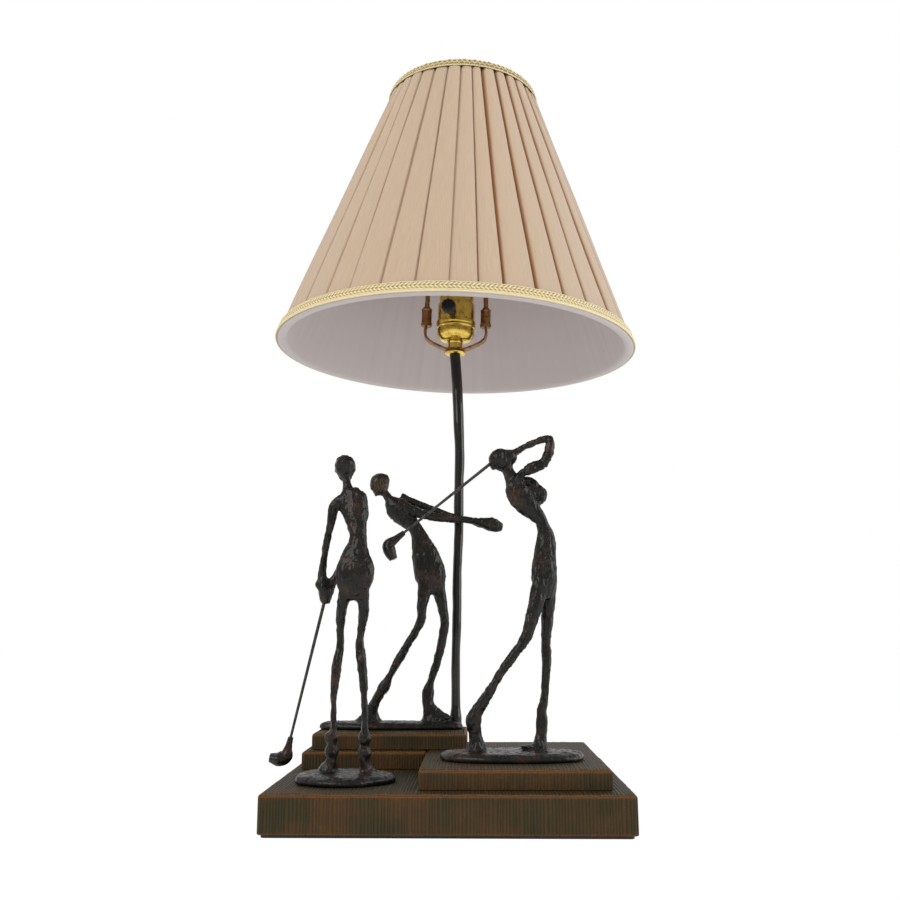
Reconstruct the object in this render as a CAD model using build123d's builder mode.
# Figural table lamp: three slender cast golfers on a stepped hardwood base, a wavy bronze rod,
# a turn-knob socket with harp, and a box-pleated fabric empire shade.
# Millimetres, +Z up. The origin is on the felt's underside, straight below the rod.

import os
from math import asin, atan2, cos, degrees, hypot, pi, radians, sin

from build123d import *

os.makedirs("parts", exist_ok=True)

# ---------------------------------------------------------------- clearances
SNUG = 0.05  # radial clearance of a pin, screw or pipe in its hole
APART = 0.3  # gap between curved skins that lie on each other

# ---------------------------------------------------------------- base boards
FELT_THICK = 1.5
FELT_INSET = 1.0
SLAB_THICK = 25.3
SLAB_LEFT, SLAB_RIGHT = -122.7, 117.8
SLAB_FRONT, SLAB_BACK = -165.7, 22.0
BOARD_THICK = 13.2  # platform and lower step
TOP_STEP_THICK = 12.3
BOARDS_BACK = 14.0  # common rear line of the three upper boards
PLATFORM_LEFT, PLATFORM_RIGHT, PLATFORM_FRONT = -21.6, 106.0, -151.5
LOWER_STEP_LEFT, LOWER_STEP_FRONT = -116.1, -53.8
TOP_STEP_LEFT, TOP_STEP_RIGHT, TOP_STEP_FRONT = -110.1, 9.5, -44.7
EDGE_ROUND = 1.6

SLAB_TOP = FELT_THICK + SLAB_THICK
BOARD_TOP = SLAB_TOP + BOARD_THICK
STEP_TOP = BOARD_TOP + TOP_STEP_THICK

# ---------------------------------------------------------------- wiring way and fasteners in the base
CORD_BORE = 3.5  # radius of the way for the cord
ROD_POCKET_RADIUS = 12.0
ROD_POCKET_DEPTH = 17.0
BUSHING_RADIUS = 6.0
BUSHING_FLANGE_RADIUS = 8.5
BUSHING_FLANGE_THICK = 2.0
BUSHING_LENGTH = 8.0
SCREW_RADIUS = 2.0
SCREW_HEAD_RADIUS = 4.0
SCREW_HEAD_THICK = 2.6
SCREW_BITE = 5.0  # how far a screw enters the board that it holds
SCREW_SINK = 4.0  # depth of the counterbores below the screw heads
PLATFORM_SCREW_INSET = 12.0
PLATFORM_SCREW_LEFT_INSET = 34.0
PLATFORM_SCREW_BACK_INSET = 40.0
STEP_SCREW_INSETS = (16.0, 78.0)  # from the lower step's left end
STEP_SCREW_FRONT_INSET = 18.0
ADDRESS_SCREW_SHIFTS = (-22.0, 22.0)  # sideways from the middle of each plinth
FOLLOW_SCREW_SHIFTS = (-42.0, 12.0)
FINISH_SCREW_SHIFTS = (-38.0, 40.0)
PLINTH_BITE = 4.0  # and how far it enters a plinth

# ---------------------------------------------------------------- rod
ROD_FOOT_RADIUS = 3.6
ROD_BOSS_RADIUS = 4.8
ROD_BOSS_HEIGHT = 8.0
ROD_FLARE_HEIGHT = 16.0  # where the flare above the boss has died out
ROD_WIRE_BORE = 2.6
ROD_TOP_Z = 367.0
ROD_TOP_X = 0.4
ROD_TOP_RADIUS = 4.7
ROD_BOW = 3.6  # sideways bow of the rod at its fullest
ROD_WANDER = 0.3  # small hand-made wander along it
ROD_SECTIONS = 14
ROD_TAIL = 2.0  # end of the rod below its nut
PIPE_RADIUS = 4.4  # threaded top of the rod
PIPE_LENGTH = 12.0
NUT_ACROSS_FLATS = 13.0
NUT_THICK = 4.0
WASHER_RADIUS = 9.5
WASHER_THICK = 1.5

# ---------------------------------------------------------------- saddle and harp, along the leaning axis
LEAN_RIGHT = 1.95  # degrees that the head of the lamp leans to the right
LEAN_FRONT = 0.6  # and to the front
CHECK_RING_RADIUS = 9.2
CHECK_RING_THICK = 3.6
CHECK_RING_EASE = 1.0
SADDLE_THICK = 1.5
SADDLE_WIDTH = 8.0
SADDLE_FLAT = 14.0
SADDLE_BEND = 13.0
SADDLE_BEND_TURN = 82.0
SADDLE_RETURN_BEND = 30.0
SADDLE_RETURN_TURN = 20.0
HARP_HALF_WIDTH = 26.0
HARP_SEAT = 34.0  # height at which the harp's feet stand on the saddle's posts
LUG_RADIUS = 3.0
LUG_LENGTH = 9.0
HARP_STRAIGHT = 6.0  # straight wire above each sleeve
POST_COLLAR_RADIUS = 4.6
POST_COLLAR_THICK = 1.5
SLEEVE_RADIUS = 5.0
SLEEVE_BEAD = 0.7
SLEEVE_LENGTH = 14.2
SLEEVE_DROP = 7.0  # how far the sleeve reaches below the harp's feet
HARP_WIRE_RADIUS = 2.1
HARP_BELLY = 47.0
HARP_BELLY_HEIGHT = 128.0
HARP_SHOULDER_WIDTH = 20.2
HARP_SHOULDER_DROP = 11.5
HARP_TOP = 229.5
HARP_EYE_RADIUS = 6.5
HARP_EYE_THICK = 2.5
HARP_EYE_BITE = 1.5  # how far the wire's end enters the eye
STUD_RADIUS = 3.1
STUD_FLANGE_RADIUS = 5.5
STUD_FLANGE_THICK = 1.5
STUD_HEIGHT = 15.0
STUD_POINT = 1.0

CAP_NECK_RADIUS = 6.6
CAP_NECK_HEIGHT = 7.4
CAP_RADIUS = 17.25
CAP_HEIGHT = 17.6
CAP_DISH = 0.7  # rise of the cap's floor from the neck to the shoulder
CAP_NECK_EASE = 0.6
CAP_BEND_IN = 2.8  # how far in from the wall the cap's lower bend starts
CAP_BEND_RISE = 5.6  # and how far above the floor it ends
SHEET = 0.7  # gauge of the socket's brass sheet
SHELL_RADIUS = 16.2
SHELL_MOUTH_RADIUS = 15.0
SHELL_DEPTH_IN_CAP = 6.0
SHELL_WAIST = 46.8
SHELL_STEP = 2.0  # height of the step at the waist
SHELL_TOP = 70.0
LINER_THICK = 0.4
LINER_SHORT = 1.0  # how far the liner ends below the shell's mouth
SCREW_SHELL_INNER = 13.1
SCREW_SHELL_THICK = 0.4
SCREW_SHELL_SHORT = 2.0
BODY_FOOT_RADIUS = 13.5
BODY_FOOT_HEIGHT = 6.0
BODY_FOOT_BEVEL = 1.5
TERMINAL_POCKET = (8.0, 9.0, 4.0)  # width, height and depth of the pocket at each terminal
TERMINAL_RISE = 1.0  # foot of the terminal pockets above the shell's lower edge
TERMINAL_HEAD_RADIUS = 2.6
TERMINAL_HEAD_THICK = 1.6
TERMINAL_SHANK_RADIUS = 1.4
TERMINAL_SHANK_LENGTH = 4.0
SET_SCREW_RADIUS = 1.2
SET_SCREW_LENGTH = 4.4
CONTACT_RADIUS = 3.2
CONTACT_THICK = 2.0

STEM_TURN = 11.0  # degrees that the switch stem points left of straight ahead
STEM_HEIGHT = 34.4
STEM_RADIUS = 1.6
STEM_IN_BODY = 7.0
STEM_IN_KNOB = 8.0
SWITCH_NECK_RADIUS = 3.6
SWITCH_NECK_LENGTH = 7.0
KNOB_RADIUS = 6.2
KNOB_LENGTH = 12.5
KNOB_FOOT_RADIUS = 5.0
KNOB_CROWN_RADIUS = 4.5
KNOB_FOOT_FLARE = 3.7
KNOB_CROWN_DROP = 1.9
KNOB_GRIPS = 8
KNOB_GRIP_RADIUS = 1.0
KNOB_GRIP_DEPTH = 0.6

BULB_RADIUS = 30.0
BULB_LENGTH = 106.0
BULB_BASE_HEIGHT = 24.0
BULB_BASE_RADIUS = 13.02
BULB_THREAD_DEPTH = 0.5
BULB_THREADS = 6
BULB_CONE_STEP = 2.0  # width of the cone between the tip and the thread
BULB_CONE_HEIGHT = 4.0
BULB_COLLAR = 2.0
BULB_NECK_RADIUS = 12.4
BULB_TIP_RADIUS = 4.5
BULB_TIP_HEIGHT = 2.2
GLASS_THICK = 1.0

FINIAL_HEIGHT = 24.0
FINIAL_RADIUS = 7.2
FINIAL_FOOT = 2.0
FINIAL_WAIST_RADIUS = 4.8
FINIAL_BORE_SPARE = 1.0  # free bore above the stud

# ---------------------------------------------------------------- shade, along the same axis
SHADE_BOTTOM_RADIUS = 153.6
SHADE_TOP_RADIUS = 64.3
SHADE_BOTTOM = 3.1
SHADE_HEIGHT = 239.0
PLEATS = 38
PLEAT_DEPTH = 2.2
PLEAT_SLIT = 0.22  # share of a pleat's width taken by the slit beside it
PLEAT_WALL = 0.35  # share of that slit taken by the wall on either side of its floor
PLEAT_FLOOR = 0.55
PLEAT_UNEVEN = 0.16  # share by which the pleats' widths vary
COVER_THICK = 1.0
LINING_THICK = 0.8
FRAME_WIRE = 1.1
RING_WIRE = 1.4
RIBS = 8
TRIM_THICK = 1.6
BOTTOM_TRIM_HEIGHT = 13.0
TOP_TRIM_HEIGHT = 8.5
TRIM_LIP = 1.0
SPIDER_WASHER_RADIUS = 10.0
SPIDER_WASHER_THICK = 1.5
SPIDER_ARMS = 3
LINING_DROP = 5.5  # the lining ends this far below the shade's top

# ---------------------------------------------------------------- golfers
PLINTH_PROFILE = [(0.0, -1.2), (2.2, 0.0), (4.6, -0.8), (6.8, -4.5)]  # heights and insets of its sections
SHAFT_RADIUS = 1.1
LIMB_SIDES = 10
PLINTH_SIDES = 36

# Each golfer has its origin at the middle of its plinth's underside. A joint is
# (x, y, z, half width, half depth), with the depth measured along Y.
ADDRESS_PLACE = (-75.0, -115.0, SLAB_TOP)
ADDRESS_PLINTH = (35.0, 28.0)
ADDRESS_LIMBS = {
    "left leg": [
        (-1, -3, 132, 5.0, 5.5), (-4, -1, 116, 3.9, 4.4), (-5, 3, 103, 3.0, 3.2), (-5, 4, 92, 3.1, 3.5),
        (-7, 2, 77, 3.9, 4.2), (-8, 0, 61, 2.8, 3.0), (-8, -1, 45, 2.3, 2.4), (-8, -1, 35, 2.8, 2.8),
        (-9, -1, 27, 5.0, 4.2), (-9, 0, 18, 3.7, 4.0), (-11, 2, 9, 6.6, 7.5), (-12, 3, 4, 9.0, 13.0),
    ],
    "right leg": [
        (11, -3, 132, 5.4, 5.5), (12, -1, 116, 4.0, 4.4), (10, 3, 103, 3.1, 3.2), (9, 4, 94, 3.3, 3.5),
        (11, 2, 79, 3.9, 4.2), (13, 0, 62, 3.0, 3.0), (14, -1, 46, 2.7, 2.7), (14, -1, 35, 3.0, 2.8),
        (14, -1, 27, 4.5, 4.2), (14, 0, 18, 3.6, 4.0), (15, 2, 9, 5.2, 7.5), (16, 3, 4, 7.8, 13.0),
    ],
    "torso": [
        (5, -3, 124, 5.5, 4.0), (5, -4, 135, 12.6, 7.5), (6, -4, 146, 14.2, 8.0), (6, -2, 156, 11.0, 6.6),
        (7, 0, 167, 7.0, 5.2), (6, 2, 177, 7.2, 5.6), (4, 5, 189, 9.9, 6.2), (1, 7, 199, 11.6, 5.6),
        (-1, 8, 206, 6.4, 4.2),
    ],
    "neck": [(-1, 7, 202, 5.4, 4.0), (-3, 10, 210, 3.4, 3.4), (-4, 13, 219, 3.4, 3.6)],
    "left arm": [
        (-6, 7, 199, 4.2, 4.2), (-12, 8, 193, 4.3, 4.3), (-14, 8, 181, 3.4, 3.4), (-17, 9, 167, 3.0, 3.0),
        (-19, 10, 154, 2.8, 2.8), (-20, 10, 143, 3.5, 3.5), (-18, 10, 133, 5.2, 4.8),
        (-17, 10, 126, 4.6, 4.4), (-16.5, 10, 122, 2.6, 2.6),
    ],
    "right arm": [
        (8, 8, 198, 4.6, 4.4), (10, 11, 187, 3.6, 3.6), (5, 13, 173, 3.2, 3.2), (-3, 13, 157, 2.9, 2.9),
        (-10, 12, 143, 2.9, 2.9), (-15, 11, 133, 4.2, 4.0),
    ],
}
ADDRESS_HEAD = ((-5, 14, 222), (0.05, 0.2, 1.0), 8.6, 10.4)
ADDRESS_SHAFT = ((-17.0, 10.0, 128.0), (-41.1, 10.0, 23.2))
ADDRESS_CLUB_HEAD = [
    (-39.7, 10, 29, 1.9, 1.9), (-41.3, 10, 22, 2.7, 2.7), (-43, 10, 16, 4.8, 4.4), (-48, 10, 14, 4.8, 6.0),
    (-54, 10, 15, 3.2, 4.4),
]

FOLLOW_PLACE = (-52.0, -12.0, STEP_TOP)
FOLLOW_PLINTH = (58.0, 12.0)
FOLLOW_LIMBS = {
    "left leg": [
        (28, -2, 125, 7.0, 5.0), (27, -2, 110, 6.0, 4.8), (25, -3, 97, 4.5, 4.2), (24, -3, 85, 3.9, 3.9),
        (15, -4, 69, 3.4, 3.4), (6, -4, 54, 3.8, 3.6), (-1, -4, 41, 3.1, 3.1), (-5, -3, 34, 5.0, 4.2),
        (-9, -3, 27, 4.2, 3.8), (-14, -2, 18, 4.6, 4.4), (-16, -1, 11, 7.5, 5.4), (-17, 0, 4, 14.0, 8.0),
    ],
    "right leg": [
        (36, 2, 123, 7.0, 5.0), (40, 2, 105, 5.3, 4.6), (43, 3, 88, 4.0, 4.0), (43, 3, 80, 4.0, 4.0),
        (40, 3, 64, 3.7, 3.6), (36, 3, 49, 3.7, 3.4), (32, 2, 37, 3.2, 3.2), (30, 2, 29, 5.2, 4.2),
        (30, 1, 20, 5.0, 4.4), (33, 1, 12, 8.5, 5.6), (36, 0, 4, 16.0, 7.5),
    ],
    "torso": [
        (31, 0, 107, 6.0, 4.0), (32, 0, 120, 13.0, 6.8), (28, 0, 137, 12.0, 7.0), (24, 0, 150, 8.7, 5.8),
        (20, 0, 160, 6.0, 5.0), (13, 0, 168, 7.6, 5.8), (6, 0, 175, 9.6, 6.6), (1, 0, 181, 8.8, 6.4),
        (-3, 0, 186, 4.6, 4.0),
    ],
    "neck": [(0, 0, 182, 5.0, 4.4), (-5, 0, 189, 3.7, 3.7), (-9, 0, 195, 3.8, 4.0)],
    "near arm": [
        (5, -4, 183, 5.2, 4.4), (16, -5, 176, 4.6, 4.0), (32, -5, 171, 4.0, 3.6), (48, -4, 169, 3.7, 3.4),
        (61, -3, 168, 3.1, 3.1), (70, -2, 167, 3.3, 3.3), (79, -1, 165, 5.4, 4.6), (87, 0, 163, 5.6, 4.8),
        (92, 0, 162, 3.2, 3.0),
    ],
    "far arm": [
        (6, 3, 188, 4.6, 4.2), (17, 5, 184, 3.4, 3.4), (33, 5, 178, 3.3, 3.3), (48, 4, 172, 3.3, 3.3),
        (61, 2, 169, 2.9, 2.9), (75, 0, 165, 4.2, 4.0),
    ],
}
FOLLOW_HEAD = ((-11, 0, 198), (-0.35, 0.0, 1.0), 9.0, 9.8)

FINISH_PLACE = (42.0, -102.0, BOARD_TOP)
FINISH_PLINTH = (51.0, 24.0)
FINISH_LIMBS = {
    "left leg": [
        (23, -3, 127, 6.6, 5.0), (19, -4, 111, 6.0, 4.8), (15, -5, 97, 5.0, 4.4), (11, -5, 85, 4.4, 4.2),
        (4, -5, 75, 3.9, 3.8), (-4, -5, 65, 4.2, 4.0), (-10, -5, 56, 3.6, 3.5), (-15, -5, 48, 4.6, 4.2),
        (-20, -5, 40, 4.9, 4.4), (-25, -4, 33, 5.4, 4.8), (-27, -4, 27, 6.4, 5.4), (-26, -3, 19, 5.2, 5.0),
        (-25, -2, 11, 6.2, 6.6), (-25, -1, 4, 11.0, 11.0),
    ],
    "right leg": [
        (29, 3, 127, 6.2, 5.0), (28, 4, 112, 5.8, 4.8), (27, 5, 97, 4.6, 4.4), (26, 5, 83, 4.0, 4.0),
        (26, 5, 66, 3.8, 3.7), (25, 5, 54, 3.2, 3.2), (24, 5, 44, 3.2, 3.2), (22, 5, 34, 3.9, 3.7),
        (22, 5, 25, 4.5, 4.2), (21, 5, 16, 4.5, 4.4), (20, 4, 9, 6.2, 6.4), (18, 3, 4, 13.5, 11.0),
    ],
    "torso": [
        (26, 0, 112, 5.0, 4.0), (25, 0, 126, 9.6, 6.6), (26, 0, 142, 8.8, 6.8), (27, 0, 156, 7.2, 6.0),
        (25, 0, 166, 5.0, 4.8), (20, 0, 174, 6.2, 5.4), (13, 0, 182, 9.0, 6.4), (7, 0, 190, 9.4, 6.6),
        (4, 0, 197, 7.0, 5.6), (3, 0, 203, 4.8, 4.4),
    ],
    "shoulder": [
        (9, 4, 200, 3.7, 3.7), (19, 6, 199, 3.4, 3.4), (26, 6, 192, 3.6, 3.6), (23, 4, 184, 3.4, 3.4),
        (15, 1, 180, 3.0, 3.0),
    ],
    "neck": [(5, 0, 197, 6.0, 5.0), (1, 0, 204, 5.0, 4.6), (-3, 0, 211, 5.0, 4.8)],
    "arms": [
        (5, -3, 198, 4.1, 4.0), (14, -5, 205, 3.7, 3.6), (23, -6, 211, 4.1, 3.8), (29, -5, 218, 4.1, 3.8),
        (30, -4, 226, 3.9, 3.6), (25, -2, 230, 3.4, 3.4), (16, 0, 228, 3.2, 3.2), (6, 1, 223, 3.8, 3.8),
        (-1, 1, 218, 4.0, 4.0),
    ],
}
FINISH_HEAD = ((-5, 0, 215), (-0.5, 0.0, 1.0), 9.2, 9.8)
FINISH_SHAFT = ((-7.0, -1.0, 217.0), (-82.5, -6.2, 156.0))
FINISH_CLUB_HEAD = [
    (-77, -5.8, 160.4, 1.9, 1.9), (-83, -6.2, 155.6, 2.8, 2.8), (-88, -6, 151.5, 4.6, 4.2),
    (-87, -6, 146, 4.4, 5.2), (-84.5, -6, 141, 3.0, 3.6),
]

# ---------------------------------------------------------------- the leaning axis of the lamp's head
HEAD = Plane(
    origin=(ROD_TOP_X, 0, ROD_TOP_Z),
    x_dir=(cos(radians(LEAN_RIGHT)), 0, -sin(radians(LEAN_RIGHT))),
    z_dir=(sin(radians(LEAN_RIGHT)), -sin(radians(LEAN_FRONT)), cos(radians(LEAN_RIGHT))),
)
HEAD_FRONT = Plane(origin=HEAD.origin, x_dir=HEAD.x_dir, z_dir=-HEAD.y_dir)  # local X across, local Y up
HEAD_AXIS = Axis(HEAD.origin, HEAD.z_dir)

SADDLE_BASE = CHECK_RING_THICK
CAP_BASE = SADDLE_BASE + SADDLE_THICK
CAP_FLOOR = CAP_BASE + CAP_NECK_HEIGHT
CAP_TOP = CAP_FLOOR + CAP_HEIGHT
SHELL_BASE = CAP_TOP - SHELL_DEPTH_IN_CAP
BODY_BASE = CAP_FLOOR + CAP_DISH + SHEET
BODY_RADIUS = SHELL_RADIUS - SHEET - APART
BODY_TOP = STEM_HEIGHT + 2 * SWITCH_NECK_RADIUS
TIP_HEIGHT = BODY_TOP + CONTACT_THICK
BASE_TOP = TIP_HEIGHT + BULB_TIP_HEIGHT + BULB_BASE_HEIGHT
SLEEVE_BASE = HARP_SEAT - SLEEVE_DROP
SPIDER_SEAT = HARP_TOP + STUD_FLANGE_THICK
FINIAL_SEAT = SPIDER_SEAT + SPIDER_WASHER_THICK + SNUG
SHADE_TOP = SHADE_BOTTOM + SHADE_HEIGHT
COVER_INNER = -(PLEAT_DEPTH + COVER_THICK)  # offsets from the shade's nominal radius
FRAME_LINE = COVER_INNER - APART - RING_WIRE
LINING_OUTER = FRAME_LINE - RING_WIRE - APART
LINING_INNER = LINING_OUTER - LINING_THICK
TRIM_INNER = APART
TRIM_OUTER = TRIM_INNER + TRIM_THICK
BOTTOM_RING_HEIGHT = SHADE_BOTTOM + APART + RING_WIRE
TOP_RING_HEIGHT = SHADE_TOP - APART - RING_WIRE


def solid_of_revolution(points):
    """Turn a closed outline, given as (radius, height) pairs, about the head's axis."""
    with BuildSketch(HEAD_FRONT) as profile:
        with BuildLine():
            Polyline(*points, close=True)
        make_face()
    revolve(profile.sketch, axis=HEAD_AXIS)


def board(left, right, front, back, low, thick):
    """A board with softened upper edges and corners."""
    with BuildSketch(Plane.XY.offset(low)) as outline:
        with Locations(((left + right) / 2, (front + back) / 2)):
            RectangleRounded(right - left, back - front, EDGE_ROUND)
    extrude(outline.sketch, amount=thick)
    fillet(faces().sort_by(Axis.Z)[-1].edges(), EDGE_ROUND * 0.9)


def drill(spots, radius, low, high):
    """Straight holes between two heights."""
    with BuildSketch(Plane.XY.offset(low)) as holes:
        with Locations(*spots):
            Circle(radius)
    extrude(holes.sketch, amount=high - low, mode=Mode.SUBTRACT)


def wood_screws(spots, head_low, tip_high):
    """Round-headed screws that stand point up."""
    for radius, length in ((SCREW_HEAD_RADIUS, SCREW_HEAD_THICK), (SCREW_RADIUS, tip_high - head_low)):
        with BuildSketch(Plane.XY.offset(head_low)) as rounds:
            with Locations(*spots):
                Circle(radius)
        extrude(rounds.sketch, amount=length)


def oval(half_width, half_depth, sides):
    """Corner points of a hand-modelled, slightly flat-sided oval."""
    turns = [2 * pi * side / sides for side in range(sides)]
    return [(half_width * cos(turn), half_depth * sin(turn)) for turn in turns]


def limb(place, joints):
    """Loft flat-sided oval sections along a chain of joints."""
    points = [Vector(*place) + Vector(*joint[:3]) for joint in joints]
    sections = []
    for index, joint in enumerate(joints):
        before = points[max(index - 1, 0)]
        after = points[min(index + 1, len(points) - 1)]
        with BuildSketch(Plane(origin=points[index], x_dir=(0, 1, 0), z_dir=after - before)) as section:
            Polygon(*oval(joint[4], joint[3], LIMB_SIDES), align=None)
        sections.append(section.sketch)
    loft(sections, ruled=True)


def egg(place, centre, direction, half_width, half_height):
    """An oval head turned about its own upright axis."""
    middle = Vector(*place) + Vector(*centre)
    up = Vector(*direction).normalized()
    side = up.cross(Vector(0, 1, 0)).normalized()
    face_plane = Plane(origin=middle, x_dir=side, z_dir=side.cross(up))
    with BuildSketch(face_plane) as half_oval:
        Ellipse(half_width, half_height)
        with Locations((-half_width, 0)):
            Rectangle(2 * half_width, 2 * half_height, mode=Mode.SUBTRACT)
    revolve(half_oval.sketch, axis=Axis(middle, up))


def plinth(place, half_sizes):
    """A puddle-shaped foot with a rolled rim and a slightly domed top."""
    sections = []
    for height, inset in PLINTH_PROFILE:
        with BuildSketch(Plane(origin=Vector(*place) + Vector(0, 0, height))) as section:
            Polygon(*oval(half_sizes[0] + inset, half_sizes[1] + inset, PLINTH_SIDES), align=None)
        sections.append(section.sketch)
    loft(sections, ruled=True)


def shaft_plane(place, ends):
    """The plane square to a club's shaft at its upper end."""
    along = Vector(*ends[1]) - Vector(*ends[0])
    return Plane(origin=Vector(*place) + Vector(*ends[0]), x_dir=(0, 1, 0), z_dir=along)


def shaft_length(ends):
    """Length of a club's shaft between its two ends."""
    return (Vector(*ends[1]) - Vector(*ends[0])).length


def golfer(place, half_sizes, limbs, head):
    """Plinth, limbs and head of one casting, ground flat underneath."""
    plinth(place, half_sizes)
    for joints in limbs.values():
        limb(place, joints)
    egg(place, *head)
    split(bisect_by=Plane(origin=place), keep=Keep.TOP)


def bore_for_shaft(place, ends):
    """Open the hands for the end of a club's shaft."""
    with BuildSketch(shaft_plane(place, ends)) as hole:
        Circle(SHAFT_RADIUS + SNUG)
    extrude(hole.sketch, amount=shaft_length(ends), mode=Mode.SUBTRACT)


def shade_radius(height):
    """Nominal radius of the shade at a height along the axis."""
    share = (height - SHADE_BOTTOM) / SHADE_HEIGHT
    return SHADE_BOTTOM_RADIUS + (SHADE_TOP_RADIUS - SHADE_BOTTOM_RADIUS) * share


def cone_shell(inner_offset, outer_offset, low, high):
    """A conical wall parallel to the shade, given by its offsets from the nominal radius."""
    solid_of_revolution([
        (shade_radius(low) + inner_offset, low),
        (shade_radius(low) + outer_offset, low),
        (shade_radius(high) + outer_offset, high),
        (shade_radius(high) + inner_offset, high),
    ])


def pleat_outline(radius):
    """Corner points of the box pleats around a circle, crests outward and slits inward."""
    points = []
    for pleat in range(PLEATS):
        start = pleat + PLEAT_UNEVEN * sin(2.4 * pleat)
        end = pleat + 1 + PLEAT_UNEVEN * sin(2.4 * (pleat + 1))
        if pleat == PLEATS - 1:
            end = PLEATS
        slit = (end - start) * PLEAT_SLIT
        corners = [
            (start, -1), (start + slit * PLEAT_WALL, 0), (end - slit * (PLEAT_WALL + PLEAT_FLOOR), 0),
            (end - slit * PLEAT_FLOOR, -1),
        ]
        for turn, depth in corners:
            angle = 2 * pi * turn / PLEATS
            reach = radius + depth * PLEAT_DEPTH
            points.append((reach * cos(angle), reach * sin(angle)))
    return points


# ================================================================ base
ROD_HOLE = [(0, 0)]
POCKET_TOP = FELT_THICK + ROD_POCKET_DEPTH
BACK_FACE = Plane(origin=(0, SLAB_BACK, FELT_THICK + SLAB_THICK / 2), x_dir=(1, 0, 0), z_dir=(0, 1, 0))
HEAD_SINK = FELT_THICK + SCREW_SINK  # underside of the sunk screw heads

ADDRESS_SPOTS = [(ADDRESS_PLACE[0] + dx, ADDRESS_PLACE[1]) for dx in ADDRESS_SCREW_SHIFTS]
FOLLOW_SPOTS = [(FOLLOW_PLACE[0] + dx, FOLLOW_PLACE[1]) for dx in FOLLOW_SCREW_SHIFTS]
FINISH_SPOTS = [(FINISH_PLACE[0] + dx, FINISH_PLACE[1]) for dx in FINISH_SCREW_SHIFTS]
PLATFORM_SPOTS = [
    (x, y)
    for x in (PLATFORM_LEFT + PLATFORM_SCREW_LEFT_INSET, PLATFORM_RIGHT - PLATFORM_SCREW_INSET)
    for y in (PLATFORM_FRONT + PLATFORM_SCREW_INSET, BOARDS_BACK - PLATFORM_SCREW_BACK_INSET)
]
STEP_SCREW_LINE = LOWER_STEP_FRONT + STEP_SCREW_FRONT_INSET
STEP_SPOTS = [(LOWER_STEP_LEFT + inset, STEP_SCREW_LINE) for inset in STEP_SCREW_INSETS]
ALL_SPOTS = ADDRESS_SPOTS + FOLLOW_SPOTS + FINISH_SPOTS + PLATFORM_SPOTS + STEP_SPOTS

with BuildPart() as base_slab:
    board(SLAB_LEFT, SLAB_RIGHT, SLAB_FRONT, SLAB_BACK, FELT_THICK, SLAB_THICK)
    drill(ROD_HOLE, ROD_POCKET_RADIUS, FELT_THICK, POCKET_TOP)
    drill(ROD_HOLE, ROD_FOOT_RADIUS + SNUG, FELT_THICK, SLAB_TOP)
    drill(ALL_SPOTS, SCREW_RADIUS + SNUG, FELT_THICK, SLAB_TOP)
    drill(ALL_SPOTS, SCREW_HEAD_RADIUS + APART, FELT_THICK, HEAD_SINK + SCREW_HEAD_THICK)
    with BuildSketch(BACK_FACE):
        Circle(BUSHING_RADIUS + SNUG)
    extrude(amount=-BUSHING_LENGTH, mode=Mode.SUBTRACT)
    with BuildSketch(BACK_FACE):
        Circle(CORD_BORE)
    extrude(amount=-SLAB_BACK, mode=Mode.SUBTRACT)
base_slab.part.label = "base_slab"
export_step(base_slab.part, "parts/base_slab.step")

with BuildPart() as base_felt:
    with BuildSketch():
        with Locations(((SLAB_LEFT + SLAB_RIGHT) / 2, (SLAB_FRONT + SLAB_BACK) / 2)):
            RectangleRounded(
                SLAB_RIGHT - SLAB_LEFT - 2 * FELT_INSET,
                SLAB_BACK - SLAB_FRONT - 2 * FELT_INSET,
                2 * EDGE_ROUND,
            )
    extrude(amount=FELT_THICK)
base_felt.part.label = "base_felt"
export_step(base_felt.part, "parts/base_felt.step")

with BuildPart() as right_platform:
    board(PLATFORM_LEFT, PLATFORM_RIGHT, PLATFORM_FRONT, BOARDS_BACK, SLAB_TOP, BOARD_THICK)
    drill(ROD_HOLE, ROD_FOOT_RADIUS + SNUG, SLAB_TOP, BOARD_TOP)
    drill(FINISH_SPOTS, SCREW_RADIUS + SNUG, SLAB_TOP, BOARD_TOP)
    drill(PLATFORM_SPOTS, SCREW_RADIUS + SNUG, SLAB_TOP, SLAB_TOP + SCREW_BITE)
right_platform.part.label = "right_platform"
export_step(right_platform.part, "parts/right_platform.step")

with BuildPart() as rear_step_lower:
    board(LOWER_STEP_LEFT, PLATFORM_LEFT, LOWER_STEP_FRONT, BOARDS_BACK, SLAB_TOP, BOARD_THICK)
    drill(FOLLOW_SPOTS + STEP_SPOTS, SCREW_RADIUS + SNUG, SLAB_TOP, BOARD_TOP)
rear_step_lower.part.label = "rear_step_lower"
export_step(rear_step_lower.part, "parts/rear_step_lower.step")

with BuildPart() as rear_step_upper:
    board(TOP_STEP_LEFT, TOP_STEP_RIGHT, TOP_STEP_FRONT, BOARDS_BACK, BOARD_TOP, TOP_STEP_THICK)
    drill(ROD_HOLE, ROD_FOOT_RADIUS + SNUG, BOARD_TOP, STEP_TOP)
    drill(FOLLOW_SPOTS, SCREW_RADIUS + SNUG, BOARD_TOP, STEP_TOP)
    drill(STEP_SPOTS, SCREW_RADIUS + SNUG, BOARD_TOP, BOARD_TOP + SCREW_BITE)
rear_step_upper.part.label = "rear_step_upper"
export_step(rear_step_upper.part, "parts/rear_step_upper.step")

with BuildPart() as platform_screws:
    wood_screws(PLATFORM_SPOTS, HEAD_SINK, SLAB_TOP + SCREW_BITE)
platform_screws.part.label = "platform_screws"
export_step(platform_screws.part, "parts/platform_screws.step")

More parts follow.
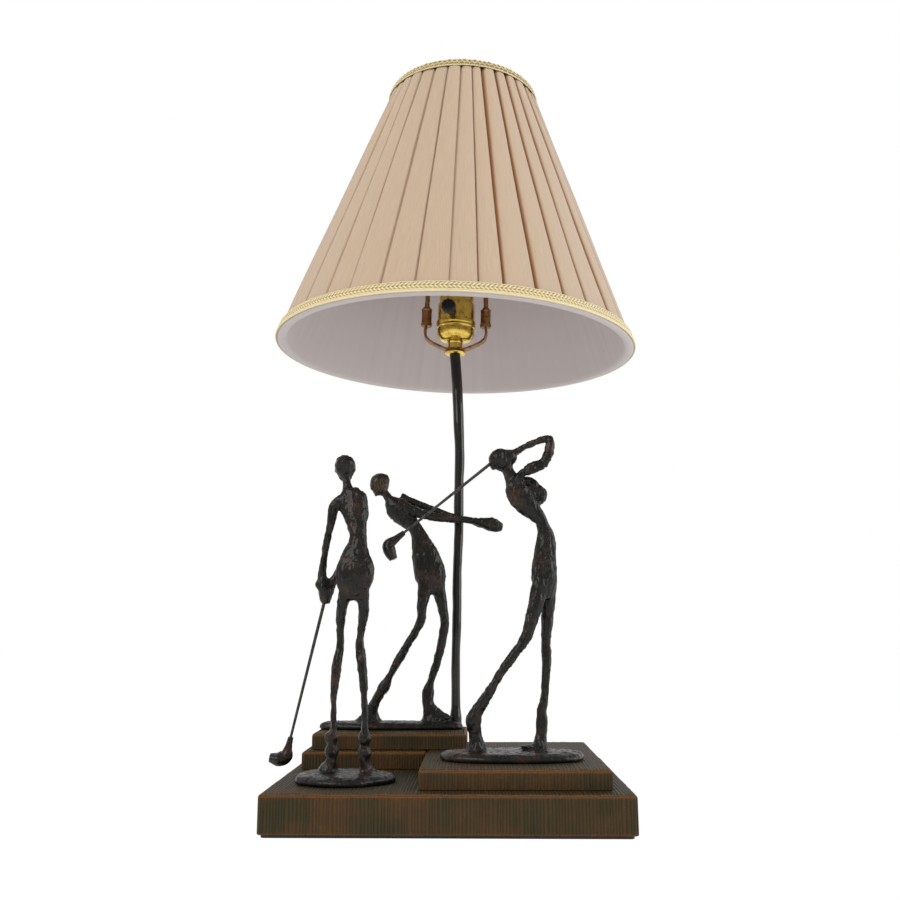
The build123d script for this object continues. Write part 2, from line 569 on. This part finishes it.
with BuildPart() as step_screws:
    wood_screws(STEP_SPOTS, HEAD_SINK, BOARD_TOP + SCREW_BITE)
step_screws.part.label = "step_screws"
export_step(step_screws.part, "parts/step_screws.step")

with BuildPart() as plinth_screws:
    wood_screws(ADDRESS_SPOTS, HEAD_SINK, SLAB_TOP + PLINTH_BITE)
    wood_screws(FOLLOW_SPOTS, HEAD_SINK, STEP_TOP + PLINTH_BITE)
    wood_screws(FINISH_SPOTS, HEAD_SINK, BOARD_TOP + PLINTH_BITE)
plinth_screws.part.label = "plinth_screws"
export_step(plinth_screws.part, "parts/plinth_screws.step")

with BuildPart() as cord_bushing:
    with BuildSketch(BACK_FACE):
        Circle(BUSHING_FLANGE_RADIUS)
    extrude(amount=BUSHING_FLANGE_THICK)
    chamfer(faces().sort_by(Axis.Y)[-1].edges(), BUSHING_FLANGE_THICK * 0.4)
    with BuildSketch(BACK_FACE):
        Circle(BUSHING_RADIUS)
    extrude(amount=-BUSHING_LENGTH)
    with BuildSketch(BACK_FACE.offset(BUSHING_FLANGE_THICK)):
        Circle(CORD_BORE)
    extrude(amount=-(BUSHING_LENGTH + BUSHING_FLANGE_THICK), mode=Mode.SUBTRACT)
cord_bushing.part.label = "cord_bushing"
export_step(cord_bushing.part, "parts/cord_bushing.step")

# ================================================================ golfers and clubs
GOLFERS = {
    "golfer_address": (
        ADDRESS_PLACE, ADDRESS_PLINTH, ADDRESS_LIMBS, ADDRESS_HEAD, ADDRESS_SPOTS, ADDRESS_SHAFT,
    ),
    "golfer_follow_through": (FOLLOW_PLACE, FOLLOW_PLINTH, FOLLOW_LIMBS, FOLLOW_HEAD, FOLLOW_SPOTS, None),
    "golfer_finish": (FINISH_PLACE, FINISH_PLINTH, FINISH_LIMBS, FINISH_HEAD, FINISH_SPOTS, FINISH_SHAFT),
}
for name, (place, half_sizes, limbs, head, spots, shaft) in GOLFERS.items():
    with BuildPart() as casting:
        golfer(place, half_sizes, limbs, head)
        drill(spots, SCREW_RADIUS + SNUG, place[2], place[2] + PLINTH_BITE)
        if shaft:
            bore_for_shaft(place, shaft)
    casting.part.label = name
    export_step(casting.part, f"parts/{name}.step")

CLUBS = {
    "address": (ADDRESS_PLACE, ADDRESS_SHAFT, ADDRESS_CLUB_HEAD),
    "finish": (FINISH_PLACE, FINISH_SHAFT, FINISH_CLUB_HEAD),
}
for name, (place, ends, joints) in CLUBS.items():
    with BuildPart() as club_shaft:
        with BuildSketch(shaft_plane(place, ends)):
            Circle(SHAFT_RADIUS)
        extrude(amount=shaft_length(ends))
    club_shaft.part.label = f"club_shaft_{name}"
    export_step(club_shaft.part, f"parts/club_shaft_{name}.step")
    with BuildPart() as club_head:
        limb(place, joints)
        bore_for_shaft(place, ends)
    club_head.part.label = f"club_head_{name}"
    export_step(club_head.part, f"parts/club_head_{name}.step")

# ================================================================ rod and its fastening
ROD_HEIGHT = ROD_TOP_Z - STEP_TOP


def rod_centre(share):
    """Centre of the rod at a share of its height: a slow bow to the right and a small wander."""
    wander = ROD_WANDER * sin(pi * share)
    side = ROD_TOP_X * share + ROD_BOW * sin(pi * share**2) + wander * sin(9 * pi * share)
    return Vector(side, wander * sin(7 * pi * share), STEP_TOP + ROD_HEIGHT * share)


def rod_radius(share):
    """Radius of the rod: a boss at the foot that flares down to it, then a slow swelling upwards."""
    rise = share * ROD_HEIGHT
    if rise <= ROD_BOSS_HEIGHT:
        return ROD_BOSS_RADIUS
    if rise < ROD_FLARE_HEIGHT:
        died_out = (rise - ROD_BOSS_HEIGHT) / (ROD_FLARE_HEIGHT - ROD_BOSS_HEIGHT)
        return ROD_BOSS_RADIUS + (ROD_FOOT_RADIUS - ROD_BOSS_RADIUS) * died_out
    return ROD_FOOT_RADIUS + (ROD_TOP_RADIUS - ROD_FOOT_RADIUS) * share**2


def rod_loft(radius_of, mode):
    """Loft circles along the rod, the last one square to the leaning head."""
    shares = [0, ROD_BOSS_HEIGHT / ROD_HEIGHT, ROD_FLARE_HEIGHT / ROD_HEIGHT]
    shares += [index / ROD_SECTIONS for index in range(1, ROD_SECTIONS + 1)]
    sections = []
    for share in shares:
        with BuildSketch(HEAD if share == 1 else Plane(origin=rod_centre(share))) as section:
            Circle(radius_of(share))
        sections.append(section.sketch)
    loft(sections, ruled=True, mode=mode)


with BuildPart() as lamp_rod:
    rod_loft(rod_radius, Mode.ADD)
    with BuildSketch(Plane.XY.offset(STEP_TOP)):
        Circle(ROD_FOOT_RADIUS)
    extrude(amount=-(STEP_TOP - POCKET_TOP + WASHER_THICK + NUT_THICK + ROD_TAIL))
    with BuildSketch(HEAD):
        Circle(PIPE_RADIUS)
    extrude(amount=PIPE_LENGTH)
    rod_loft(lambda share: ROD_WIRE_BORE, Mode.SUBTRACT)
    with BuildSketch(HEAD):
        Circle(ROD_WIRE_BORE)
    extrude(amount=PIPE_LENGTH, mode=Mode.SUBTRACT)
    with BuildSketch(Plane.XY.offset(STEP_TOP)):
        Circle(ROD_WIRE_BORE)
    extrude(amount=-STEP_TOP, mode=Mode.SUBTRACT)
lamp_rod.part.label = "lamp_rod"
export_step(lamp_rod.part, "parts/lamp_rod.step")

with BuildPart() as rod_washer:
    with BuildSketch(Plane.XY.offset(POCKET_TOP - WASHER_THICK)):
        Circle(WASHER_RADIUS)
        Circle(ROD_FOOT_RADIUS + SNUG, mode=Mode.SUBTRACT)
    extrude(amount=WASHER_THICK)
rod_washer.part.label = "rod_washer"
export_step(rod_washer.part, "parts/rod_washer.step")

with BuildPart() as rod_nut:
    with BuildSketch(Plane.XY.offset(POCKET_TOP - WASHER_THICK - NUT_THICK)):
        RegularPolygon(NUT_ACROSS_FLATS / 2, 6, major_radius=False)
        Circle(ROD_FOOT_RADIUS + SNUG, mode=Mode.SUBTRACT)
    extrude(amount=NUT_THICK)
rod_nut.part.label = "rod_nut"
export_step(rod_nut.part, "parts/rod_nut.step")

# ================================================================ saddle, harp and sleeves
with BuildPart() as check_ring:
    solid_of_revolution([
        (PIPE_RADIUS + SNUG, 0), (CHECK_RING_RADIUS - CHECK_RING_EASE, 0),
        (CHECK_RING_RADIUS, CHECK_RING_EASE),
        (CHECK_RING_RADIUS, CHECK_RING_THICK - CHECK_RING_EASE),
        (CHECK_RING_RADIUS - CHECK_RING_EASE, CHECK_RING_THICK),
        (PIPE_RADIUS + SNUG, CHECK_RING_THICK),
    ])
check_ring.part.label = "check_ring"
export_step(check_ring.part, "parts/check_ring.step")

SADDLE_LINE = SADDLE_BASE + SADDLE_THICK / 2
HEAD_SIDE = Plane(origin=HEAD.origin, x_dir=HEAD.y_dir, z_dir=HEAD.x_dir)  # splits left from right

with BuildPart() as harp_saddle:
    with BuildSketch(HEAD_FRONT.offset(-SADDLE_WIDTH / 2)):
        with BuildLine() as strip:
            flat = Line((0, SADDLE_LINE), (SADDLE_FLAT, SADDLE_LINE))
            rise = JernArc(flat @ 1, flat % 1, SADDLE_BEND, SADDLE_BEND_TURN)
            JernArc(rise @ 1, rise % 1, SADDLE_RETURN_BEND, SADDLE_RETURN_TURN)
        trace(line_width=SADDLE_THICK)
    extrude(amount=SADDLE_WIDTH)
    with BuildSketch(HEAD.offset(SADDLE_BASE)):
        Circle(CHECK_RING_RADIUS)
    extrude(amount=SADDLE_THICK)
    with BuildSketch(HEAD.offset(SLEEVE_BASE - POST_COLLAR_THICK)):
        with Locations((HARP_HALF_WIDTH, 0)):
            Circle(POST_COLLAR_RADIUS)
    extrude(amount=POST_COLLAR_THICK)
    with BuildSketch(HEAD.offset(SLEEVE_BASE)):
        with Locations((HARP_HALF_WIDTH, 0)):
            Circle(LUG_RADIUS)
    extrude(amount=SLEEVE_DROP)
    mirror(about=HEAD_SIDE)
    with BuildSketch(HEAD.offset(SADDLE_BASE)):
        Circle(PIPE_RADIUS + SNUG)
    extrude(amount=SADDLE_THICK, mode=Mode.SUBTRACT)
harp_saddle.part.label = "harp_saddle"
export_step(harp_saddle.part, "parts/harp_saddle.step")

HARP_FOOT = (HARP_HALF_WIDTH, HARP_SEAT)
HARP_BEND = (HARP_HALF_WIDTH, HARP_SEAT + SLEEVE_LENGTH + HARP_STRAIGHT)
HARP_SIDE = (HARP_BELLY, HARP_BELLY_HEIGHT)
HARP_SHOULDER = (HARP_SHOULDER_WIDTH, HARP_TOP - HARP_SHOULDER_DROP)
HARP_END = (HARP_EYE_RADIUS - HARP_EYE_BITE, HARP_TOP - HARP_WIRE_RADIUS - SNUG)


def chord(start, end):
    """Length of the chord between two points, and its turn to the left of upright in degrees."""
    across = end[0] - start[0]
    up = end[1] - start[1]
    return hypot(across, up), degrees(atan2(-across, up))


sway_length, sway_turn = chord(HARP_BEND, HARP_SIDE)
sway_radius = sway_length / 4 / sin(radians(-sway_turn))
crown_length, crown_turn = chord(HARP_SIDE, HARP_SHOULDER)
crown_radius = crown_length / 2 / sin(radians(crown_turn))
eye_length, eye_turn = chord(HARP_SHOULDER, HARP_END)
eye_radius = eye_length / 2 / sin(radians(eye_turn - 2 * crown_turn))

with BuildPart() as harp_bow:
    with BuildLine() as half_bow:
        Line(HARP_FOOT, HARP_BEND)
        outward = JernArc(HARP_BEND, (0, 1), sway_radius, 2 * sway_turn)
        JernArc(outward @ 1, outward % 1, sway_radius, -2 * sway_turn)
        crown = JernArc(HARP_SIDE, (0, 1), crown_radius, 2 * crown_turn)
        JernArc(HARP_SHOULDER, crown % 1, eye_radius, 2 * (eye_turn - 2 * crown_turn))
    with BuildSketch(HEAD.offset(HARP_SEAT)):
        with Locations((HARP_HALF_WIDTH, 0)):
            Circle(HARP_WIRE_RADIUS)
    sweep(path=half_bow.wire().moved(HEAD_FRONT.location))
    with BuildSketch(HEAD.offset(HARP_SEAT)):
        with Locations((HARP_HALF_WIDTH, 0)):
            Circle(LUG_RADIUS)
    extrude(amount=LUG_LENGTH)
    mirror(about=HEAD_SIDE)
    with BuildSketch(HEAD.offset(HARP_TOP - HARP_EYE_THICK)):
        Circle(HARP_EYE_RADIUS)
    extrude(amount=HARP_EYE_THICK)
    with BuildSketch(HEAD.offset(HARP_TOP - 2 * HARP_EYE_THICK)):
        Circle(STUD_RADIUS + SNUG)
    extrude(amount=2 * HARP_EYE_THICK, mode=Mode.SUBTRACT)
harp_bow.part.label = "harp_bow"
export_step(harp_bow.part, "parts/harp_bow.step")

for name, side in (("left", -1), ("right", 1)):
    with BuildPart() as harp_sleeve:
        for low, high, radius in (
            (0, SLEEVE_LENGTH, SLEEVE_RADIUS - SLEEVE_BEAD),
            (0, 2 * SLEEVE_BEAD, SLEEVE_RADIUS),
            (SLEEVE_LENGTH - 2 * SLEEVE_BEAD, SLEEVE_LENGTH, SLEEVE_RADIUS),
        ):
            with BuildSketch(HEAD.offset(SLEEVE_BASE + low)):
                with Locations((side * HARP_HALF_WIDTH, 0)):
                    Circle(radius)
            extrude(amount=high - low)
        with BuildSketch(HEAD.offset(SLEEVE_BASE)):
            with Locations((side * HARP_HALF_WIDTH, 0)):
                Circle(LUG_RADIUS + SNUG)
        extrude(amount=SLEEVE_LENGTH, mode=Mode.SUBTRACT)
    harp_sleeve.part.label = f"harp_sleeve_{name}"
    export_step(harp_sleeve.part, f"parts/harp_sleeve_{name}.step")

with BuildPart() as harp_stud:
    solid_of_revolution([
        (0, HARP_TOP - HARP_EYE_THICK), (STUD_RADIUS, HARP_TOP - HARP_EYE_THICK), (STUD_RADIUS, HARP_TOP),
        (STUD_FLANGE_RADIUS, HARP_TOP), (STUD_FLANGE_RADIUS, SPIDER_SEAT), (STUD_RADIUS, SPIDER_SEAT),
        (STUD_RADIUS, SPIDER_SEAT + STUD_HEIGHT - STUD_POINT),
        (STUD_RADIUS - STUD_POINT, SPIDER_SEAT + STUD_HEIGHT),
        (0, SPIDER_SEAT + STUD_HEIGHT),
    ])
harp_stud.part.label = "harp_stud"
export_step(harp_stud.part, "parts/harp_stud.step")

# ================================================================ socket
BACKWARD = Plane(origin=HEAD.origin, x_dir=HEAD.x_dir, z_dir=HEAD.y_dir)  # looks to the lamp's rear

CAP_BEND = [  # insets from the wall and heights above the floor, round the cap's lower bend
    (CAP_BEND_IN, CAP_DISH), (CAP_BEND_IN * 0.3, CAP_BEND_RISE / 2), (0, CAP_BEND_RISE),
]

with BuildPart() as socket_cap:
    solid_of_revolution([
        (PIPE_RADIUS + SNUG, CAP_BASE), (CAP_NECK_RADIUS - CAP_NECK_EASE, CAP_BASE),
        (CAP_NECK_RADIUS, CAP_BASE + CAP_NECK_EASE), (CAP_NECK_RADIUS, CAP_FLOOR),
        *[(CAP_RADIUS - inset, CAP_FLOOR + rise) for inset, rise in CAP_BEND],
        (CAP_RADIUS, CAP_TOP), (CAP_RADIUS - SHEET, CAP_TOP),
        *[(CAP_RADIUS - SHEET - inset, CAP_FLOOR + SHEET + rise) for inset, rise in reversed(CAP_BEND)],
        (CAP_NECK_RADIUS, CAP_FLOOR + SHEET), (PIPE_RADIUS + SNUG, CAP_FLOOR + SHEET),
    ])
    with BuildSketch(BACKWARD.offset(PIPE_RADIUS)):
        with Locations((0, -(CAP_BASE + CAP_FLOOR) / 2)):
            Circle(SET_SCREW_RADIUS + SNUG)
    extrude(amount=SET_SCREW_LENGTH, mode=Mode.SUBTRACT)
socket_cap.part.label = "socket_cap"
export_step(socket_cap.part, "parts/socket_cap.step")

with BuildPart() as cap_set_screw:
    with BuildSketch(BACKWARD.offset(PIPE_RADIUS + SNUG)):
        with Locations((0, -(CAP_BASE + CAP_FLOOR) / 2)):
            Circle(SET_SCREW_RADIUS)
    extrude(amount=SET_SCREW_LENGTH)
cap_set_screw.part.label = "cap_set_screw"
export_step(cap_set_screw.part, "parts/cap_set_screw.step")

# The switch points forward and a little to the left: its plane looks outward along the stem.
STEM_OUT = Vector(0, 0, 0) - HEAD.y_dir * cos(radians(STEM_TURN)) - HEAD.x_dir * sin(radians(STEM_TURN))
STEM_START = HEAD.origin + HEAD.z_dir * STEM_HEIGHT
SWITCH = Plane(origin=STEM_START, x_dir=HEAD.z_dir, z_dir=STEM_OUT)
SWITCH_NECK_BASE = BODY_RADIUS + SNUG
KNOB_BASE = SWITCH_NECK_BASE + SWITCH_NECK_LENGTH + APART

with BuildPart() as socket_shell:
    solid_of_revolution([
        (SHELL_RADIUS - SHEET, SHELL_BASE), (SHELL_RADIUS, SHELL_BASE),
        (SHELL_RADIUS, SHELL_WAIST - SHELL_STEP), (SHELL_MOUTH_RADIUS, SHELL_WAIST),
        (SHELL_MOUTH_RADIUS, SHELL_TOP), (SHELL_MOUTH_RADIUS - SHEET, SHELL_TOP),
        (SHELL_MOUTH_RADIUS - SHEET, SHELL_WAIST), (SHELL_RADIUS - SHEET, SHELL_WAIST - SHELL_STEP),
    ])
    with BuildSketch(SWITCH):
        Circle(SWITCH_NECK_RADIUS + SNUG)
    extrude(amount=2 * SHELL_RADIUS, mode=Mode.SUBTRACT)
socket_shell.part.label = "socket_shell"
export_step(socket_shell.part, "parts/socket_shell.step")

POCKET_WIDTH, POCKET_HEIGHT, POCKET_DEPTH = TERMINAL_POCKET
POCKET_BASE = SHELL_BASE + TERMINAL_RISE
POCKET_MIDDLE = POCKET_BASE + POCKET_HEIGHT / 2

with BuildPart() as socket_body:
    solid_of_revolution([
        (0, BODY_BASE), (BODY_FOOT_RADIUS, BODY_BASE),
        (BODY_FOOT_RADIUS, BODY_BASE + BODY_FOOT_HEIGHT - BODY_FOOT_BEVEL),
        (BODY_RADIUS, BODY_BASE + BODY_FOOT_HEIGHT), (BODY_RADIUS, BODY_TOP), (0, BODY_TOP),
    ])
    with BuildSketch(HEAD.offset(POCKET_BASE)):
        with Locations((BODY_RADIUS - POCKET_DEPTH / 2, 0), (-BODY_RADIUS + POCKET_DEPTH / 2, 0)):
            Rectangle(POCKET_DEPTH, POCKET_WIDTH)
    extrude(amount=POCKET_HEIGHT, mode=Mode.SUBTRACT)
    with BuildSketch(HEAD_SIDE.offset(-BODY_RADIUS)):
        with Locations((0, POCKET_MIDDLE)):
            Circle(TERMINAL_SHANK_RADIUS + SNUG)
    extrude(amount=2 * BODY_RADIUS, mode=Mode.SUBTRACT)
    with BuildSketch(SWITCH.offset(BODY_RADIUS - STEM_IN_BODY)):
        Circle(STEM_RADIUS + SNUG)
    extrude(amount=2 * STEM_IN_BODY, mode=Mode.SUBTRACT)
socket_body.part.label = "socket_body"
export_step(socket_body.part, "parts/socket_body.step")

with BuildPart() as terminal_screws:
    for turned in (HEAD_SIDE, Plane(origin=HEAD.origin, x_dir=HEAD.y_dir, z_dir=-HEAD.x_dir)):
        rise = POCKET_MIDDLE if turned is HEAD_SIDE else -POCKET_MIDDLE
        seat = BODY_RADIUS - POCKET_DEPTH
        with BuildSketch(turned.offset(seat)):
            with Locations((0, rise)):
                Circle(TERMINAL_HEAD_RADIUS)
        extrude(amount=TERMINAL_HEAD_THICK)
        with BuildSketch(turned.offset(seat)):
            with Locations((0, rise)):
                Circle(TERMINAL_SHANK_RADIUS)
        extrude(amount=-TERMINAL_SHANK_LENGTH)
terminal_screws.part.label = "terminal_screws"
export_step(terminal_screws.part, "parts/terminal_screws.step")

with BuildPart() as socket_liner:
    outer = SHELL_MOUTH_RADIUS - SHEET - SNUG
    solid_of_revolution([
        (outer - LINER_THICK, BODY_TOP), (outer, BODY_TOP), (outer, SHELL_TOP - LINER_SHORT),
        (outer - LINER_THICK, SHELL_TOP - LINER_SHORT),
    ])
socket_liner.part.label = "socket_liner"
export_step(socket_liner.part, "parts/socket_liner.step")

with BuildPart() as screw_shell:
    outer = SCREW_SHELL_INNER + SCREW_SHELL_THICK
    solid_of_revolution([
        (SCREW_SHELL_INNER, BODY_TOP), (outer, BODY_TOP), (outer, SHELL_TOP - SCREW_SHELL_SHORT),
        (SCREW_SHELL_INNER, SHELL_TOP - SCREW_SHELL_SHORT),
    ])
screw_shell.part.label = "screw_shell"
export_step(screw_shell.part, "parts/screw_shell.step")

with BuildPart() as center_contact:
    with BuildSketch(HEAD.offset(BODY_TOP)):
        Circle(CONTACT_RADIUS)
    extrude(amount=CONTACT_THICK)
center_contact.part.label = "center_contact"
export_step(center_contact.part, "parts/center_contact.step")

# ================================================================ turn-knob switch
with BuildPart() as switch_bushing:
    with BuildSketch(SWITCH.offset(SWITCH_NECK_BASE)):
        Circle(SWITCH_NECK_RADIUS)
        Circle(STEM_RADIUS + SNUG, mode=Mode.SUBTRACT)
    extrude(amount=SWITCH_NECK_LENGTH)
switch_bushing.part.label = "switch_bushing"
export_step(switch_bushing.part, "parts/switch_bushing.step")

with BuildPart() as switch_stem:
    with BuildSketch(SWITCH.offset(BODY_RADIUS - STEM_IN_BODY + APART)):
        Circle(STEM_RADIUS)
    extrude(amount=KNOB_BASE + STEM_IN_KNOB - (BODY_RADIUS - STEM_IN_BODY + APART))
switch_stem.part.label = "switch_stem"
export_step(switch_stem.part, "parts/switch_stem.step")

with BuildPart() as switch_knob:
    for rise, radius in (
        (0, KNOB_FOOT_RADIUS),
        (KNOB_FOOT_FLARE, KNOB_RADIUS),
        (KNOB_LENGTH - KNOB_CROWN_DROP, KNOB_RADIUS),
        (KNOB_LENGTH, KNOB_CROWN_RADIUS),
    ):
        with BuildSketch(SWITCH.offset(KNOB_BASE + rise)):
            Circle(radius)
    loft(ruled=True)
    with BuildSketch(SWITCH.offset(KNOB_BASE)):
        with PolarLocations(KNOB_RADIUS + KNOB_GRIP_RADIUS - KNOB_GRIP_DEPTH, KNOB_GRIPS):
            Circle(KNOB_GRIP_RADIUS)
    extrude(amount=KNOB_LENGTH - KNOB_CROWN_DROP / 2, mode=Mode.SUBTRACT)
    with BuildSketch(SWITCH.offset(KNOB_BASE)):
        Circle(STEM_RADIUS + SNUG)
    extrude(amount=STEM_IN_KNOB, mode=Mode.SUBTRACT)
switch_knob.part.label = "switch_knob"
export_step(switch_knob.part, "parts/switch_knob.step")

# ================================================================ bulb
CONE_BASE = TIP_HEIGHT + BULB_TIP_HEIGHT
THREAD_BASE = CONE_BASE + BULB_CONE_HEIGHT
THREAD_PITCH = (BASE_TOP - THREAD_BASE - BULB_COLLAR) / BULB_THREADS

with BuildPart() as bulb_contact:
    with BuildSketch(HEAD.offset(TIP_HEIGHT)):
        Circle(BULB_TIP_RADIUS)
    extrude(amount=BULB_TIP_HEIGHT)
bulb_contact.part.label = "bulb_contact"
export_step(bulb_contact.part, "parts/bulb_contact.step")

with BuildPart() as bulb_base:
    root = BULB_BASE_RADIUS - BULB_THREAD_DEPTH
    outline = [(0, CONE_BASE), (BULB_TIP_RADIUS + BULB_CONE_STEP, CONE_BASE), (root, THREAD_BASE)]
    for turn in range(BULB_THREADS):
        outline.append((BULB_BASE_RADIUS, THREAD_BASE + (turn + 0.5) * THREAD_PITCH))
        outline.append((root, THREAD_BASE + (turn + 1) * THREAD_PITCH))
    outline.append((root, BASE_TOP))
    outline.append((0, BASE_TOP))
    solid_of_revolution(outline)
bulb_base.part.label = "bulb_base"
export_step(bulb_base.part, "parts/bulb_base.step")


def bulb_form(inset, mode):
    """A round ball whose flank runs smoothly down into the upright neck, drawn in by an inset."""
    ball = BULB_RADIUS - inset
    neck = BULB_NECK_RADIUS - inset
    rise = TIP_HEIGHT + BULB_LENGTH - BULB_RADIUS - BASE_TOP
    both_radii = (rise**2 + (ball - neck) ** 2) / (2 * (ball - neck))
    turn = asin(rise / both_radii)
    with BuildSketch(HEAD_FRONT) as half:
        with BuildLine():
            Polyline((0, BASE_TOP + rise + ball), (0, BASE_TOP), (neck, BASE_TOP))
            flank = JernArc((neck, BASE_TOP), (0, 1), both_radii - ball, -degrees(turn))
            ThreePointArc(flank @ 1, (ball, BASE_TOP + rise), (0, BASE_TOP + rise + ball))
        make_face()
    revolve(half.sketch, axis=HEAD_AXIS, mode=mode)


with BuildPart() as bulb_glass:
    bulb_form(0, Mode.ADD)
    bulb_form(GLASS_THICK, Mode.SUBTRACT)
bulb_glass.part.label = "bulb_glass"
export_step(bulb_glass.part, "parts/bulb_glass.step")

# ================================================================ finial
FINIAL_BORE_TOP = SPIDER_SEAT + STUD_HEIGHT + FINIAL_BORE_SPARE
FINIAL_TIP = FINIAL_SEAT + FINIAL_HEIGHT
FINIAL_BALL = FINIAL_TIP - FINIAL_RADIUS
FINIAL_NECK_TOP = FINIAL_BALL - (FINIAL_RADIUS**2 - FINIAL_WAIST_RADIUS**2) ** 0.5

with BuildPart() as finial:
    neck_top = (FINIAL_WAIST_RADIUS, FINIAL_NECK_TOP)
    with BuildSketch(HEAD_FRONT):
        with BuildLine():
            Polyline(
                (0, FINIAL_TIP), (0, FINIAL_BORE_TOP), (STUD_RADIUS + SNUG, FINIAL_BORE_TOP),
                (STUD_RADIUS + SNUG, FINIAL_SEAT), (FINIAL_RADIUS, FINIAL_SEAT),
                (FINIAL_RADIUS, FINIAL_SEAT + FINIAL_FOOT),
                (FINIAL_WAIST_RADIUS, FINIAL_SEAT + 2 * FINIAL_FOOT), neck_top,
            )
            ThreePointArc(neck_top, (FINIAL_RADIUS, FINIAL_BALL), (0, FINIAL_TIP))
        make_face()
    revolve(axis=HEAD_AXIS)
finial.part.label = "finial"
export_step(finial.part, "parts/finial.step")

# ================================================================ shade
TOP_RING_RADIUS = shade_radius(TOP_RING_HEIGHT) + FRAME_LINE
BOTTOM_RING_RADIUS = shade_radius(BOTTOM_RING_HEIGHT) + FRAME_LINE
ARM_START = SPIDER_WASHER_RADIUS + APART  # the arms are butted to the washer's rim and to the ring
ARM_END = TOP_RING_RADIUS - RING_WIRE - APART
ARM_HEIGHT = SPIDER_SEAT + SPIDER_WASHER_THICK / 2


def wire(plane, start, end):
    """A straight round wire between two (radius, height) points of an upright plane."""
    first = plane.from_local_coords(start)
    last = plane.from_local_coords(end)
    with BuildSketch(Plane(origin=first, z_dir=last - first)) as section:
        Circle(FRAME_WIRE)
    extrude(section.sketch, amount=(last - first).length)


def spoke_plane(turn):
    """The upright half-plane that starts on the head's axis, turned by an angle in degrees."""
    outward = HEAD.x_dir * cos(radians(turn)) + HEAD.y_dir * sin(radians(turn))
    return Plane(origin=HEAD.origin, x_dir=outward, z_dir=outward.cross(HEAD.z_dir))


with BuildPart() as spider_washer:
    with BuildSketch(HEAD.offset(SPIDER_SEAT)):
        Circle(SPIDER_WASHER_RADIUS)
        Circle(STUD_RADIUS + SNUG, mode=Mode.SUBTRACT)
    extrude(amount=SPIDER_WASHER_THICK)
spider_washer.part.label = "spider_washer"
export_step(spider_washer.part, "parts/spider_washer.step")

with BuildPart() as shade_spider:
    for arm in range(SPIDER_ARMS):
        spoke = spoke_plane(360 * (arm + 0.5) / SPIDER_ARMS)
        wire(spoke, (ARM_START, ARM_HEIGHT), (ARM_END, TOP_RING_HEIGHT))
shade_spider.part.label = "shade_spider"
export_step(shade_spider.part, "parts/shade_spider.step")

RINGS = {
    "shade_top_ring": (TOP_RING_RADIUS, TOP_RING_HEIGHT),
    "shade_bottom_ring": (BOTTOM_RING_RADIUS, BOTTOM_RING_HEIGHT),
}
for name, middle in RINGS.items():
    with BuildPart() as shade_ring:
        with BuildSketch(HEAD_FRONT):
            with Locations(middle):
                Circle(RING_WIRE)
        revolve(axis=HEAD_AXIS)
    shade_ring.part.label = name
    export_step(shade_ring.part, f"parts/{name}.step")

with BuildPart() as shade_ribs:
    rib_low = BOTTOM_RING_HEIGHT + RING_WIRE + APART
    rib_high = TOP_RING_HEIGHT - RING_WIRE - APART
    for rib in range(RIBS):
        wire(
            spoke_plane(360 * rib / RIBS),
            (shade_radius(rib_low) + FRAME_LINE, rib_low),
            (shade_radius(rib_high) + FRAME_LINE, rib_high),
        )
shade_ribs.part.label = "shade_ribs"
export_step(shade_ribs.part, "parts/shade_ribs.step")

with BuildPart() as shade_cover:
    with BuildSketch(HEAD.offset(SHADE_BOTTOM)):
        Polygon(*pleat_outline(SHADE_BOTTOM_RADIUS), align=None)
    with BuildSketch(HEAD.offset(SHADE_TOP)):
        Polygon(*pleat_outline(SHADE_TOP_RADIUS), align=None)
    loft(ruled=True)
    with BuildSketch(HEAD.offset(SHADE_BOTTOM)):
        Circle(SHADE_BOTTOM_RADIUS + COVER_INNER)
    with BuildSketch(HEAD.offset(SHADE_TOP)):
        Circle(SHADE_TOP_RADIUS + COVER_INNER)
    loft(ruled=True, mode=Mode.SUBTRACT)
shade_cover.part.label = "shade_cover"
export_step(shade_cover.part, "parts/shade_cover.step")

with BuildPart() as shade_lining:
    cone_shell(LINING_INNER, LINING_OUTER, SHADE_BOTTOM, SHADE_TOP - LINING_DROP)
shade_lining.part.label = "shade_lining"
export_step(shade_lining.part, "parts/shade_lining.step")

with BuildPart() as bottom_trim:
    cone_shell(TRIM_INNER, TRIM_OUTER, SHADE_BOTTOM, SHADE_BOTTOM + BOTTOM_TRIM_HEIGHT)
    cone_shell(LINING_INNER, TRIM_OUTER, SHADE_BOTTOM - TRIM_LIP, SHADE_BOTTOM)
bottom_trim.part.label = "bottom_trim"
export_step(bottom_trim.part, "parts/bottom_trim.step")

with BuildPart() as top_trim:
    cone_shell(TRIM_INNER, TRIM_OUTER, SHADE_TOP - TOP_TRIM_HEIGHT, SHADE_TOP)
    cone_shell(LINING_INNER, TRIM_OUTER, SHADE_TOP, SHADE_TOP + TRIM_LIP)
top_trim.part.label = "top_trim"
export_step(top_trim.part, "parts/top_trim.step")
